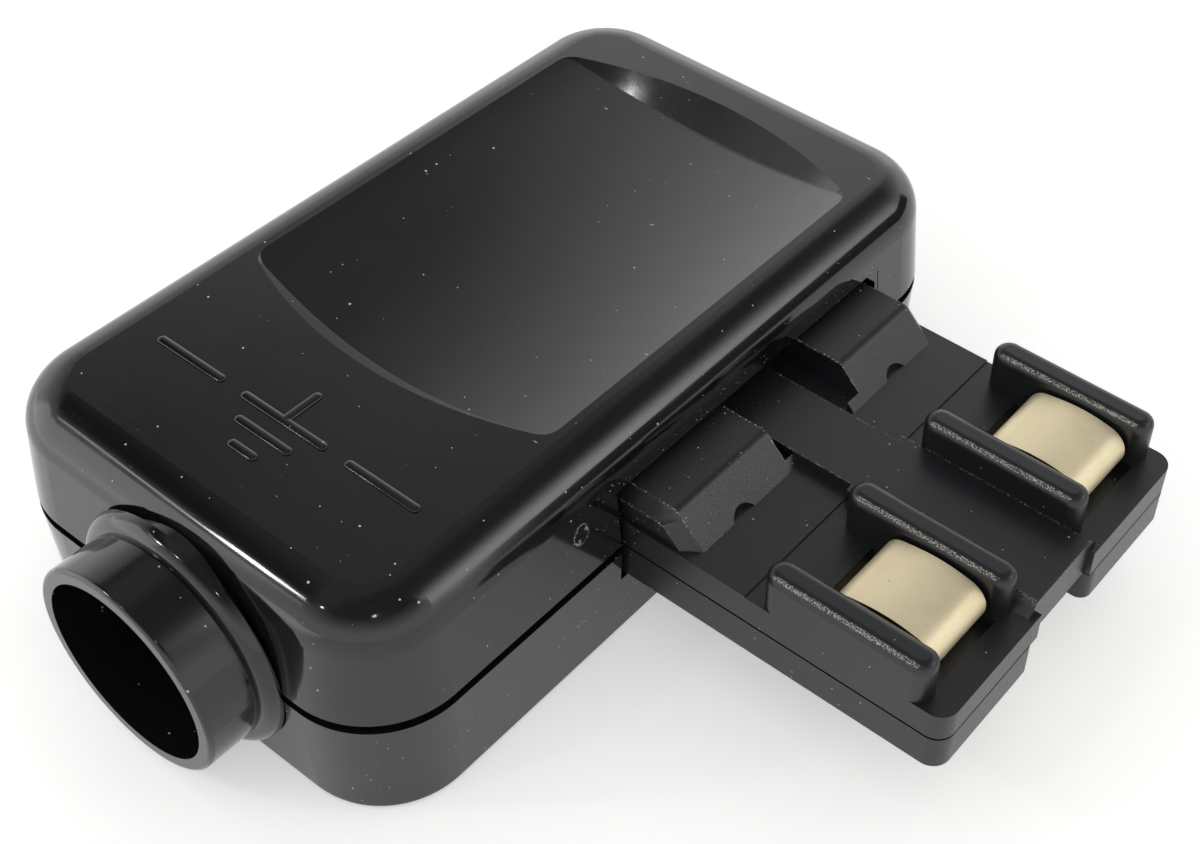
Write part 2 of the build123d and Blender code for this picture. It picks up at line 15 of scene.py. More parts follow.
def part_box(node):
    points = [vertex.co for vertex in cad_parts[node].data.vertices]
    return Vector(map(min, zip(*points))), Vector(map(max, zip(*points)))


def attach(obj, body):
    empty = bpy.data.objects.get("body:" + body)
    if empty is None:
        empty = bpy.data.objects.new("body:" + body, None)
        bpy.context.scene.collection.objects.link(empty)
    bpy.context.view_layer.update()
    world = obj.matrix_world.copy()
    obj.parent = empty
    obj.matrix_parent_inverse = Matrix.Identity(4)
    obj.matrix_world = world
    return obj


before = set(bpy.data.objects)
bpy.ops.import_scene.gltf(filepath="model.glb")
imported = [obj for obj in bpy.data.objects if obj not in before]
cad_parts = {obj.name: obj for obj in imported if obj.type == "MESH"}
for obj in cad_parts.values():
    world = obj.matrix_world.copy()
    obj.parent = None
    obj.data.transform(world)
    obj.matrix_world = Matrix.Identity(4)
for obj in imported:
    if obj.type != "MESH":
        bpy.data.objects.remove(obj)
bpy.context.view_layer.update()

bl_info = {
    "name": "Grounded plug looks",
    "version": (1, 0, 0),
    "blender": (4, 5, 0),
    "location": "3D View > Sidebar > Plug",
    "description": "Finishes, moulded marks, stage and camera of a flat grounded plug",
    "category": "Object",
}

MM = 0.001
BODY = "root"

# Kinds of node and a setting that come up often
MATH = "ShaderNodeMath"
VECTOR_MATH = "ShaderNodeVectorMath"
RANGE = "ShaderNodeMapRange"
NOISE = "ShaderNodeTexNoise"
MIX = "ShaderNodeMix"
SPLIT = "ShaderNodeSeparateXYZ"
MAPPING = "ShaderNodeMapping"
BUMP = "ShaderNodeBump"
LIGHT_PATH = "ShaderNodeLightPath"
SOFT = {"interpolation_type": "SMOOTHSTEP"}

# Places and slopes on the plug
PLATE_JOINT = 8.1 * MM
WALL_DRAFT = math.radians(5.0)
# The way the ribs' near shoulders face, where the painted glints go
RIB_SHOULDER = (0.0, -0.62, 0.78)
SYMBOL_MIDDLE = -18.9 * MM
SYMBOL_BARS = (1.0, 0.62, 0.25)
GATE_MIDDLE = (-10.9 * MM, 12.0 * MM)

# The bit of wall beside the far wedge: its corners in Y and Z, a point inside that sees them all, its depth
CORNER_OUTLINE = np.array([(19.12, 10.5), (19.12, 12.82), (17.75, 12.82), (18.75, 11.8), (18.75, 10.5)]) * MM
CORNER_HUB = (18.95 * MM, 12.2 * MM)
CORNER_DEPTH = 1.2 * MM

# The floor lies a hair under the plug's underside, so that the two don't flicker in a view from below
FLOOR_REACH = 3.0
FLOOR_DROP = 0.05 * MM
FLOOR_LIFT = 0.42
# How much the painted pool of window light adds to the floor's glow in front of the plug
WINDOW_ON_FLOOR = 1.1
WHITE = (1.0, 1.0, 1.0, 1.0)

# Points that the lamps face: the front edge over the collar, and the middle of the plug
FRONT = Vector((0.0, -26.0, 15.0)) * MM
MIDDLE = Vector((8.0, 0.0, 8.0)) * MM

# Each lamp's name, the point it faces, its azimuth and elevation in degrees, its distance, width and height
# in metres, and its brightness
LAMPS = (
    ("lamp_strip", FRONT, 219.0, 36.0, 0.15, 0.034, 0.006, 4.0),
    ("lamp_flash", FRONT, 228.0, 38.0, 0.15, 0.012, 0.012, 40.0),
    ("lamp_high", MIDDLE, 248.0, 47.0, 0.5, 0.014, 0.014, 90.0),
    ("lamp_viewer", MIDDLE, -40.0, 52.0, 0.4, 0.02, 0.02, 24.0),
)

# Nodes by what they are made of
SHELLS = ("upper_shell", "lower_shell")
PLATES = ("tongue_upper", "tongue_lower")
STRIPS = ("line_contact", "neutral_contact", "earth_contact")
TERMINALS = ("line_terminal", "neutral_terminal", "earth_terminal")
CLAMP = ("cord_clamp_bar",)
SCREWS = tuple(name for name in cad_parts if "screw" in name)


def linear(hex_colour):
    """Turns an sRGB hex colour into linear red, green, blue and alpha."""
    channels = [int(hex_colour[k:k + 2], 16) / 255 for k in (1, 3, 5)]
    return tuple(c / 12.92 if c <= 0.04045 else ((c + 0.055) / 1.055) ** 2.4 for c in channels) + (1.0,)


def per_metre(size_mm):
    """How many cells of a size in millimetres lie in a metre, which is a texture's scale."""
    return 1000.0 / size_mm


def colour_property(name, description, hex_colour):
    """A colour that a user can change."""
    return FloatVectorProperty(name=name, description=description, subtype="COLOR", size=4, min=0.0, max=1.0,
                               default=linear(hex_colour))


class PlugFinish(bpy.types.PropertyGroup):
    """Colours and wear of the plug's surfaces."""
    shell_colour: colour_property("Shell", "The polished body's plastic", "#121314")
    tongue_colour: colour_property("Tongue", "The satin tongue's plastic", "#15171a")
    plating_colour: colour_property("Plating", "The contacts' plated faces", "#f6e7bf")
    edge_colour: colour_property("Cut edge", "Bare brass at the contacts' cut edges", "#8f7a4c")
    dust_colour: colour_property("Dust", "Settled dust and lint", "#c9c5bc")
    dust_cover: FloatProperty(name="Dust cover", description="Share of the dust's cells that hold a speck",
                              subtype="FACTOR", min=0.0, max=1.0, default=0.16)
    peel_depth: FloatProperty(name="Mould waviness", description="Depth of the long waves in the polished skin",
                              unit="LENGTH", default=0.004 * MM)


class PlugMarks(bpy.types.PropertyGroup):
    """Sizes of the moulded marks."""
    symbol_width: FloatProperty(name="Symbol width", description="Longest bar of the earth symbol",
                                unit="LENGTH", default=6.4 * MM)
    line_width: FloatProperty(name="Line width", description="Width of each raised line",
                              unit="LENGTH", default=0.62 * MM)
    line_rise: FloatProperty(name="Line rise", description="How far a raised line stands above the face",
                             unit="LENGTH", default=0.16 * MM)
    gate_width: FloatProperty(name="Gate width", description="Width of the torn gate mark on the side wall",
                              unit="LENGTH", default=1.5 * MM)
    gate_height: FloatProperty(name="Gate height", description="Height of the torn gate mark on the side wall",
                               unit="LENGTH", default=1.8 * MM)


class PlugStage(bpy.types.PropertyGroup):
    """The stage's colour and light levels."""
    floor_colour: colour_property("Floor", "The pale floor", "#f1f1ef")
    room_light: FloatProperty(name="Room light", description="Even light of the room on the object",
                              min=0.0, max=2.0, default=0.72)
    overhead: FloatProperty(name="Overhead", description="How bright the room's dark ceiling is in reflections",
                            min=0.0, max=1.0, default=0.29)
    back_lamp: FloatProperty(name="Back lamp", description="How bright the soft lamp at the back right is mirrored",
                             min=0.0, max=10.0, default=2.6)
    window: FloatProperty(name="Window", description="How bright the window at the front left is mirrored",
                          min=0.0, max=10.0, default=2.3)


def add(tree, kind, inputs=(), output=0, **settings):
    """Adds a node with its settings, gives its inputs values or links, and returns one output.

    The inputs are named, or come in the node's own order.
    """
    node = tree.nodes.new(kind)
    for name, value in settings.items():
        setattr(node, name, value)
    sockets = [s for s in node.inputs if s.enabled]
    if isinstance(inputs, dict):
        sockets = [next(s for s in sockets if s.name == name) for name in inputs]
        inputs = inputs.values()
    for socket, value in zip(sockets, inputs):
        if isinstance(value, bpy.types.NodeSocket):
            tree.links.new(value, socket)
        else:
            socket.default_value = value
    shown = [s for s in node.outputs if s.enabled]
    return shown[output] if isinstance(output, int) else next(s for s in shown if s.name == output)


def new_material(name):
    """An empty material, its node tree and its Object coordinates."""
    material = bpy.data.materials.new(name)
    material.use_nodes = True
    tree = material.node_tree
    tree.nodes.clear()
    return material, tree, add(tree, "ShaderNodeTexCoord", output="Object")


def finish_material(material, tree, inputs):
    """Ends a material with its shader."""
    shader = add(tree, "ShaderNodeBsdfPrincipled", inputs)
    tree.links.new(shader, tree.nodes.new("ShaderNodeOutputMaterial").inputs["Surface"])
    return material


def paint(names, material):
    """Gives the named nodes a material."""
    for name in names:
        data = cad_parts[name].data
        data.materials.clear()
        data.materials.append(material)


def specks(tree, coords, cell_mm, cover, smallest_mm, largest_mm):
    """A mask of round specks: one in some of the cells, each with a size of its own, and most of them small."""
    distance = add(tree, "ShaderNodeTexVoronoi", {"Vector": coords, "Scale": per_metre(cell_mm)}, output="Distance")
    chance = add(tree, "ShaderNodeSeparateColor", {"Color": distance.node.outputs["Color"]}, output="Red")
    skewed = add(tree, MATH, (chance.node.outputs["Green"], 4.0), operation="POWER")
    radius = add(tree, RANGE, (skewed, 0.0, 1.0, smallest_mm / cell_mm, largest_mm / cell_mm))
    inside = add(tree, MATH, (distance, radius), operation="LESS_THAN")
    chosen = add(tree, MATH, (chance, cover), operation="LESS_THAN")
    return add(tree, MATH, (inside, chosen), operation="MULTIPLY")


def streaks(tree, coords, turn, length_mm, width_mm, least):
    """A mask of fine streaks: noise drawn out in one direction, of which only the crests are kept."""
    drawn_out = (width_mm / length_mm, 1.0, 1.0)
    turned = add(tree, MAPPING, {"Vector": coords, "Rotation": turn, "Scale": drawn_out})
    waves = add(tree, NOISE, {"Vector": turned, "Scale": per_metre(width_mm), "Detail": 1.0}, output="Fac")
    return add(tree, RANGE, (waves, least, least + 0.06), **SOFT)


def polished_abs(finish):
    """ABS with carbon black, moulded in a polished tool: deep black with sharp, slightly wavy reflections,
    fine rub marks, finger film and settled dust."""
    material, tree, coords = new_material("moulded ABS, polished")

    # Settled dust in drifts, short lint, and the dust caught low on the wall beside the tongue
    drifts = add(tree, NOISE, {"Vector": coords, "Scale": per_metre(9.0), "Detail": 2.0}, output="Fac")
    cover = add(tree, RANGE, (drifts, 0.35, 0.7, 0.02, finish.dust_cover))
    dust = specks(tree, coords, 0.34, cover, 0.012, 0.085)
    threads = add(tree, MAPPING, {"Vector": coords, "Rotation": (0.4, 0.3, 0.9), "Scale": (0.16, 1.0, 1.0)})
    lint = specks(tree, threads, 0.4, 0.035, 0.02, 0.07)
    out = add(tree, SPLIT, (coords,), output="X")
    on_wall = add(tree, RANGE, (out, 14.4 * MM, 15.4 * MM, 0.0, 0.6), **SOFT)
    by_tongue = add(tree, RANGE, (out.node.outputs["Y"], -14.0 * MM, -5.0 * MM, 0.0, 1.0), **SOFT)
    low = add(tree, RANGE, (out.node.outputs["Z"], 13.0 * MM, 15.0 * MM, 1.0, 0.12), **SOFT)
    beside = add(tree, MATH, (on_wall, by_tongue), operation="MULTIPLY")
    beside = add(tree, MATH, (beside, low), operation="MULTIPLY")
    caught = specks(tree, coords, 0.2, beside, 0.008, 0.045)
    settled = add(tree, MATH, (dust, lint), operation="MAXIMUM")
    settled = add(tree, MATH, (settled, caught), operation="MAXIMUM")

    # Rub marks two ways across a film of finger marks
    rubs_a = streaks(tree, coords, (0.0, 0.0, 0.5), 5.0, 0.05, 0.68)
    rubs_b = streaks(tree, coords, (0.0, 0.0, -0.9), 4.0, 0.04, 0.7)
    rubs = add(tree, MATH, (rubs_a, rubs_b), operation="MAXIMUM")
    film = add(tree, NOISE, {"Vector": coords, "Scale": per_metre(6.0), "Detail": 4.0, "Roughness": 0.62},
               output="Fac")
    sheen = add(tree, RANGE, (film, 0.35, 0.72, 0.07, 0.15))
    rubbed = add(tree, MATH, (rubs, 0.16, sheen), operation="MULTIPLY_ADD")
    rough = add(tree, MIX, {"Factor": settled, "A": rubbed, "B": 0.9}, data_type="FLOAT")
    colour = add(tree, MIX, {"Factor": settled, "A": finish.shell_colour, "B": finish.dust_colour}, data_type="RGBA")

    # The tool's long waves under the dust
    peel = add(tree, NOISE, {"Vector": coords, "Scale": per_metre(3.2), "Detail": 1.0}, output="Fac")
    wavy = add(tree, BUMP, {"Height": peel, "Distance": finish.peel_depth, "Strength": 1.0})
    skin = add(tree, BUMP, {"Height": settled, "Distance": 0.02 * MM, "Strength": 0.6, "Normal": wavy})
    return finish_material(material, tree, {"Base Color": colour, "Roughness": rough, "Normal": skin, "IOR": 1.56})


def satin_polyamide(finish):
    """Glass-filled polyamide, moulded in a spark-eroded tool: a satin, grainy dark grey whose edges are
    scuffed pale where the socket has rubbed them, with a painted highlight of glints on the ribs' near shoulders."""
    material, tree, coords = new_material("glass-filled polyamide, spark-eroded satin")
    grain = add(tree, NOISE, {"Vector": coords, "Scale": per_metre(0.11), "Detail": 3.0, "Roughness": 0.6},
                output="Fac")
    cloud = add(tree, NOISE, {"Vector": coords, "Scale": per_metre(4.0), "Detail": 3.0}, output="Fac")
    out = add(tree, SPLIT, (coords,), output="X")
    height = out.node.outputs["Z"]
    facing = add(tree, "ShaderNodeNewGeometry", output="Normal")
    raised = add(tree, RANGE, (height, 10.6 * MM, 11.6 * MM))

    # Scuffs along the raised edges, which are where the eased normal leaves the face's own
    eased = add(tree, "ShaderNodeBevel", {"Radius": 0.22 * MM}, samples=6)
    agree = add(tree, VECTOR_MATH, (facing, eased), output="Value", operation="DOT_PRODUCT")
    edge = add(tree, RANGE, (agree, 0.99, 0.93), **SOFT)
    flakes = add(tree, NOISE, {"Vector": coords, "Scale": per_metre(0.13), "Detail": 2.0}, output="Fac")
    chips = add(tree, RANGE, (flakes, 0.53, 0.6), **SOFT)
    worn = add(tree, MATH, (edge, raised), operation="MULTIPLY")
    scuffed = add(tree, MATH, (worn, chips), operation="MULTIPLY")

    # Painted glints on the ribs' near shoulders: a painted highlight of pale specks, only where the shoulders face
    # the near side. A fibre's end is about 0.01 mm across, and is drawn at 0.07 mm so that it shows
    shoulder = add(tree, VECTOR_MATH, (facing, RIB_SHOULDER), output="Value", operation="DOT_PRODUCT")
    rubbed = add(tree, RANGE, (shoulder, 0.955, 0.99, 0.0, 1.0), **SOFT)
    rubbed = add(tree, MATH, (rubbed, raised), operation="MULTIPLY")
    past_ramps = add(tree, RANGE, (out, 25.0 * MM, 26.0 * MM, 0.0, 1.0), **SOFT)
    rubbed = add(tree, MATH, (rubbed, past_ramps), operation="MULTIPLY")
    glass = add(tree, NOISE, {"Vector": coords, "Scale": per_metre(0.07), "Detail": 1.0}, output="Fac")
    glints = add(tree, RANGE, (glass, 0.48, 0.6, 0.0, 1.0), **SOFT)
    painted_glints = add(tree, MATH, (rubbed, glints), operation="MULTIPLY")

    # Dust, thicker towards the shell
    cover = add(tree, RANGE, (out, 17.0 * MM, 23.0 * MM, 0.35, 0.07), **SOFT)
    dust = specks(tree, coords, 0.28, cover, 0.01, 0.055)
    pale = add(tree, MATH, (scuffed, painted_glints), operation="MAXIMUM")
    pale = add(tree, MATH, (pale, dust), operation="MAXIMUM")

    # A painted shade line on the steep faces, where the two plates meet: black, dull and without shine, for the
    # shadow in the gap between them
    from_joint = add(tree, MATH, (height, PLATE_JOINT), operation="SUBTRACT")
    from_joint = add(tree, MATH, (from_joint,), operation="ABSOLUTE")
    upward = add(tree, MATH, (add(tree, SPLIT, (facing,), output="Z"),), operation="ABSOLUTE")
    steep = add(tree, RANGE, (upward, 0.3, 0.6, 1.0, 0.0), **SOFT)
    painted_gap_shade = add(tree, RANGE, (from_joint, 0.05 * MM, 0.09 * MM, 1.0, 0.0), **SOFT)
    painted_gap_shade = add(tree, MATH, (painted_gap_shade, steep), operation="MULTIPLY")

    lit = add(tree, MIX, {"Factor": cloud, "A": finish.tongue_colour, "B": linear("#1c1e21")}, data_type="RGBA")
    clean = add(tree, MIX, {"Factor": pale, "A": lit, "B": linear("#b9b2a8")}, data_type="RGBA")
    colour = add(tree, MIX, {"Factor": painted_gap_shade, "A": clean, "B": linear("#020202")}, data_type="RGBA")
    satin = add(tree, RANGE, (grain, 0.3, 0.7, 0.28, 0.42))
    rough = add(tree, MIX, {"Factor": painted_gap_shade, "A": satin, "B": 1.0}, data_type="FLOAT")
    shine = add(tree, RANGE, (painted_gap_shade, 0.0, 1.0, 0.5, 0.0), **SOFT)
    relief = add(tree, BUMP, {"Height": grain, "Distance": 0.012 * MM, "Strength": 0.7})
    return finish_material(material, tree, {"Base Color": colour, "Roughness": rough, "Normal": relief,
                                            "IOR": 1.53, "Specular IOR Level": shine})


def plated_brass(finish):
    """Brass strip, rolled, stamped and plated with nickel: a warm silver with wipe marks along the tongue,
    where the socket's springs slide, and bare brass at the cut edges."""
    material, tree, coords = new_material("brass strip, nickel-plated")
    facing = add(tree, "ShaderNodeNewGeometry", output="Normal")
    sideways = add(tree, MATH, (add(tree, SPLIT, (facing,), output="Y"),), operation="ABSOLUTE")
    cut = add(tree, RANGE, (sideways, 0.7, 0.9))
    # Wipe marks finer than this would not show
    along = add(tree, MAPPING, {"Vector": coords, "Scale": (0.012, 1.0, 1.0)})
    wipes = add(tree, NOISE, {"Vector": along, "Scale": per_metre(0.09), "Detail": 3.0}, output="Fac")
    tarnish = add(tree, NOISE, {"Vector": coords, "Scale": per_metre(2.2), "Detail": 4.0}, output="Fac")
    stain = add(tree, RANGE, (tarnish, 0.45, 0.75, 0.0, 0.6), **SOFT)
    plate = add(tree, MIX, {"Factor": stain, "A": finish.plating_colour, "B": linear("#dccb98")}, data_type="RGBA")
    marked = add(tree, MIX, {"Factor": wipes, "A": plate, "B": linear("#fcf1d4")}, data_type="RGBA")
    pits = specks(tree, coords, 0.3, 0.12, 0.01, 0.05)
    pitted = add(tree, MIX, {"Factor": pits, "A": marked, "B": linear("#8d8263")}, data_type="RGBA")
    colour = add(tree, MIX, {"Factor": cut, "A": pitted, "B": finish.edge_colour}, data_type="RGBA")
    rough = add(tree, RANGE, (wipes, 0.3, 0.7, 0.5, 0.62))
    relief = add(tree, BUMP, {"Height": wipes, "Distance": 0.002 * MM, "Strength": 0.4})
    return finish_material(material, tree, {"Base Color": colour, "Metallic": 1.0, "Roughness": rough,
                                            "Normal": relief})


def milled_metal(name, hex_colour, stain_hex, line_mm):
    """A cut metal: fine tool lines along one direction over a slightly stained colour."""
    material, tree, coords = new_material(name)
    # A cutter's feed lines, drawn coarse enough to show
    along = add(tree, MAPPING, {"Vector": coords, "Scale": (0.03, 1.0, 1.0)})
    lines = add(tree, NOISE, {"Vector": along, "Scale": per_metre(line_mm), "Detail": 2.0}, output="Fac")
    cloud = add(tree, NOISE, {"Vector": coords, "Scale": per_metre(1.4), "Detail": 4.0}, output="Fac")
    colour = add(tree, MIX, {"Factor": cloud, "A": linear(hex_colour), "B": linear(stain_hex)}, data_type="RGBA")
    rough = add(tree, RANGE, (lines, 0.3, 0.7, 0.26, 0.42))
    relief = add(tree, BUMP, {"Height": lines, "Distance": 0.004 * MM, "Strength": 0.6})
    return finish_material(material, tree, {"Base Color": colour, "Metallic": 1.0, "Roughness": rough,
                                            "Normal": relief})


def plain_polyamide():
    """Polyamide moulded in a plain tool: an even, slightly grainy black."""
    material, tree, coords = new_material("moulded polyamide, plain")
    grain = add(tree, NOISE, {"Vector": coords, "Scale": per_metre(0.15), "Detail": 2.0}, output="Fac")
    colour = add(tree, MIX, {"Factor": grain, "A": linear("#1c1d1f"), "B": linear("#26272a")}, data_type="RGBA")
    rough = add(tree, RANGE, (grain, 0.0, 1.0, 0.4, 0.6))
    relief = add(tree, BUMP, {"Height": grain, "Distance": 0.01 * MM, "Strength": 0.5})
    return finish_material(material, tree, {"Base Color": colour, "Roughness": rough, "Normal": relief, "IOR": 1.53})


def torn_abs():
    """ABS torn off at the gate: rough and dull, with pale crests."""
    material, tree, coords = new_material("ABS, torn at the gate")
    grit = add(tree, NOISE, {"Vector": coords, "Scale": per_metre(0.16), "Detail": 3.0}, output="Fac")
    crest = add(tree, RANGE, (grit, 0.48, 0.66), **SOFT)
    colour = add(tree, MIX, {"Factor": crest, "A": linear("#17181a"), "B": linear("#a19f9a")}, data_type="RGBA")
    rough = add(tree, RANGE, (grit, 0.0, 1.0, 0.4, 0.75))
    relief = add(tree, BUMP, {"Height": grit, "Distance": 0.03 * MM, "Strength": 0.9})
    return finish_material(material, tree, {"Base Color": colour, "Roughness": rough, "Normal": relief, "IOR": 1.56})


def shell_material():
    """The upper shell's finish, for what is moulded with it."""
    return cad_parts["upper_shell"].data.materials[0]


def wall_face(height):
    """The X of the right-hand wall's outer face, which leans in with height by the draft."""
    low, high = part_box("upper_shell")
    return high.x - (height - low.z) * math.tan(WALL_DRAFT)


def grid_faces(rows, columns):
    """The four-cornered faces of a grid of points whose columns close round."""
    row, column = np.meshgrid(np.arange(rows - 1), np.arange(columns), indexing="ij")
    beside = (column + 1) % columns
    corners = (row * columns + column, row * columns + beside, (row + 1) * columns + beside,
               (row + 1) * columns + column)
    return np.stack(corners, -1).reshape(-1, 4)


def new_piece(name, points, faces, material, smooth=True):
    """A mesh piece from arrays of points and faces, with its doubles merged and its faces outwards."""
    data = bpy.data.meshes.new(name)
    data.from_pydata(points.tolist(), [], faces.tolist())
    work = bmesh.new()
    work.from_mesh(data)
    bmesh.ops.remove_doubles(work, verts=work.verts, dist=0.0005 * MM)
    bmesh.ops.recalc_face_normals(work, faces=work.faces)
    for face in work.faces:
        face.smooth = smooth
    work.to_mesh(data)
    work.free()
    data.materials.append(material)
    piece = bpy.data.objects.new(name, data)
    bpy.context.scene.collection.objects.link(piece)
    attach(piece, BODY)
    return piece


def raised_line(start, end, width, rise, level):
    """Points and faces of a raised line with round ends.

    Two parameters: the angle round the line's outline, and the step from its foot over its rounded edge to
    its middle. A step's outline is a half circle about each end, of a radius that shrinks from half the
    width to nothing, and its height follows a quarter ellipse from the face up to the rise.
    """
    sides, steps, sunk = 48, 10, 0.05 * MM
    angle = np.linspace(0.0, 2 * np.pi, sides, endpoint=False)
    along = np.array(end) - np.array(start)
    heading = math.atan2(along[1], along[0])
    across = np.linspace(0.0, np.pi / 2, steps)
    radius = np.concatenate([[0.0, width / 2], width / 2 * np.cos(across)])
    height = np.concatenate([[-sunk, -sunk], rise * np.sqrt(np.sin(across))])
    middle = np.where((np.cos(angle) > 0)[:, None], np.array(end), np.array(start))
    ring = np.stack([np.cos(angle + heading), np.sin(angle + heading)], -1)
    flat = middle[None] + radius[:, None, None] * ring[None]
    points = np.concatenate([flat, np.broadcast_to(level + height[:, None, None], flat.shape[:2] + (1,))], -1)
    return points.reshape(-1, 3), grid_faces(len(radius), sides)


def joined(parts):
    """Several point and face arrays as one."""
    points, faces, base = [], [], 0
    for part_points, part_faces in parts:
        points.append(part_points)
        faces.append(part_faces + base)
        base += len(part_points)
    return np.concatenate(points), np.concatenate(faces)


class PLUG_OT_shells(bpy.types.Operator):
    """Gives the two shells their polished plastic"""
    bl_idname = "plug.shells"
    bl_label = "Shells"

    def execute(self, context):
        paint(SHELLS, polished_abs(context.scene.plug_finish))
        return {"FINISHED"}


class PLUG_OT_tongue(bpy.types.Operator):
    """Gives the tongue's two plates their satin plastic"""
    bl_idname = "plug.tongue"
    bl_label = "Tongue"

    def execute(self, context):
        paint(PLATES, satin_polyamide(context.scene.plug_finish))
        return {"FINISHED"}


class PLUG_OT_contacts(bpy.types.Operator):
    """Gives the contact strips their plating"""
    bl_idname = "plug.contacts"
    bl_label = "Contacts"

    def execute(self, context):
        paint(STRIPS, plated_brass(context.scene.plug_finish))
        return {"FINISHED"}


class PLUG_OT_inside(bpy.types.Operator):
    """Gives the terminals, the screws and the clamp bar their metals and plastic"""
    bl_idname = "plug.inside"
    bl_label = "Inside"

    def execute(self, context):
        paint(TERMINALS, milled_metal("free-cutting brass, milled", "#c9a45c", "#a9853f", 0.06))
        paint(SCREWS, milled_metal("steel, turned and zinc-plated", "#b4b6b8", "#98999b", 0.05))
        paint(CLAMP, plain_polyamide())
        return {"FINISHED"}


class PLUG_OT_symbol(bpy.types.Operator):
    """Makes the raised earth symbol and its two side lines on the top face"""
    bl_idname = "plug.symbol"
    bl_label = "Earth symbol"

    def execute(self, context):
        marks = context.scene.plug_marks
        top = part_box("upper_shell")[1].z
        wide = marks.symbol_width
        first = SYMBOL_MIDDLE + 0.1 * wide
        gap = 0.24 * wide
        lines = [((0.0, SYMBOL_MIDDLE + 0.5 * wide), (0.0, first))]
        for step, share in enumerate(SYMBOL_BARS):
            y = first - step * gap
            lines.append(((-share * wide / 2, y), (share * wide / 2, y)))
        for side in (-1, 1):
            lines.append(((side * 0.85 * wide, first), (side * 1.65 * wide, first)))
        parts = [raised_line(start, end, marks.line_width, marks.line_rise, top) for start, end in lines]
        points, faces = joined(parts)
        new_piece("earth_symbol", points, faces, shell_material())
        return {"FINISHED"}


class PLUG_OT_corner(bpy.types.Operator):
    """Makes the bit of wall that fills the tongue's window beside the far wedge's bevel"""
    bl_idname = "plug.corner"
    bl_label = "Window corner"

    def execute(self, context):
        points, faces = corner_surface()
        new_piece("window_corner", points, faces, shell_material(), smooth=False)
        return {"FINISHED"}


def corner_surface():
    """Points and faces of the bit of wall beside the far wedge, which the CAD's plain window leaves open.

    Two parameters: the place round its outline, and the step from its inner face to its outer one. Each
    point of the outline is taken through the wall, whose outer face leans in with height by the draft. Both
    faces are closed from a point inside the outline that sees all its corners.
    """
    hub = np.broadcast_to(CORNER_HUB, CORNER_OUTLINE.shape)
    rings = np.stack([hub, CORNER_OUTLINE, CORNER_OUTLINE, hub])
    depth = np.array([1.0, 1.0, 0.0, 0.0])[:, None] * CORNER_DEPTH
    points = np.concatenate([(wall_face(rings[..., 1]) - depth)[..., None], rings], -1)
    return points.reshape(-1, 3), grid_faces(len(rings), len(CORNER_OUTLINE))


class PLUG_OT_gate(bpy.types.Operator):
    """Makes the torn gate mark on the right-hand wall"""
    bl_idname = "plug.gate"
    bl_label = "Gate mark"

    def execute(self, context):
        marks = context.scene.plug_marks
        points, faces = gate_surface(marks.gate_width, marks.gate_height)
        new_piece("gate_mark", points, faces, torn_abs())
        return {"FINISHED"}


def gate_surface(width, height):
    """Points and faces of the torn gate mark.

    Two parameters: the angle round an oval, and the share of the way from its middle to its rim. The
    surface stands out from the drafted wall by a low rim at four fifths of the way and by the sum of three
    sine waves inside it, and its last ring lies in the wall. A back ring closes it.
    """
    rings, sides = 26, 64
    share = np.linspace(0.0, 1.0, rings)[:, None]
    angle = np.linspace(0.0, 2 * np.pi, sides, endpoint=False)[None]
    y = GATE_MIDDLE[0] + width / 2 * share * np.cos(angle)
    z = GATE_MIDDLE[1] + height / 2 * share * np.sin(angle)
    rim = np.exp(-((share - 0.8) / 0.09) ** 2)
    # Radians per metre: waves about 1 to 2 mm long
    waves = np.sin(y * 6100 + 1.0) + np.sin(z * 7300 + y * 2900) + np.sin(z * 3700 - y * 5200 + 2.0)
    stands = 0.07 * rim + 0.03 * waves * (share < 0.8)
    stands = np.where(share > 0.97, -0.04, stands) * MM
    front = np.stack([wall_face(z) + stands, y, z], -1)
    back = front[-1:].copy()
    back[..., 0] -= 0.1 * MM
    centre = np.broadcast_to(back.mean(axis=1, keepdims=True), back.shape)
    points = np.concatenate([front, back, centre])
    return points.reshape(-1, 3), grid_faces(len(points), sides)


def compass(azimuth, elevation):
    """The direction at an azimuth, turned from +X towards +Y, and an elevation, both in degrees."""
    turn, lift = math.radians(azimuth), math.radians(elevation)
    return math.cos(turn) * math.cos(lift), math.sin(turn) * math.cos(lift), math.sin(lift)


def soft_box(name, aim, azimuth, elevation, away, wide, tall, brightness):
    """A soft rectangular lamp that faces the aim from an azimuth and elevation in degrees."""
    lamp = bpy.data.lights.new(name, "AREA")
    lamp.shape = "RECTANGLE"
    lamp.size = wide
    lamp.size_y = tall
    lamp.energy = brightness * math.pi * wide * tall
    outward = Vector(compass(azimuth, elevation))
    holder = bpy.data.objects.new(name, lamp)
    holder.location = aim + outward * away
    holder.rotation_euler = outward.to_track_quat("Z", "Y").to_euler()
    holder.visible_camera = False
    bpy.context.scene.collection.objects.link(holder)


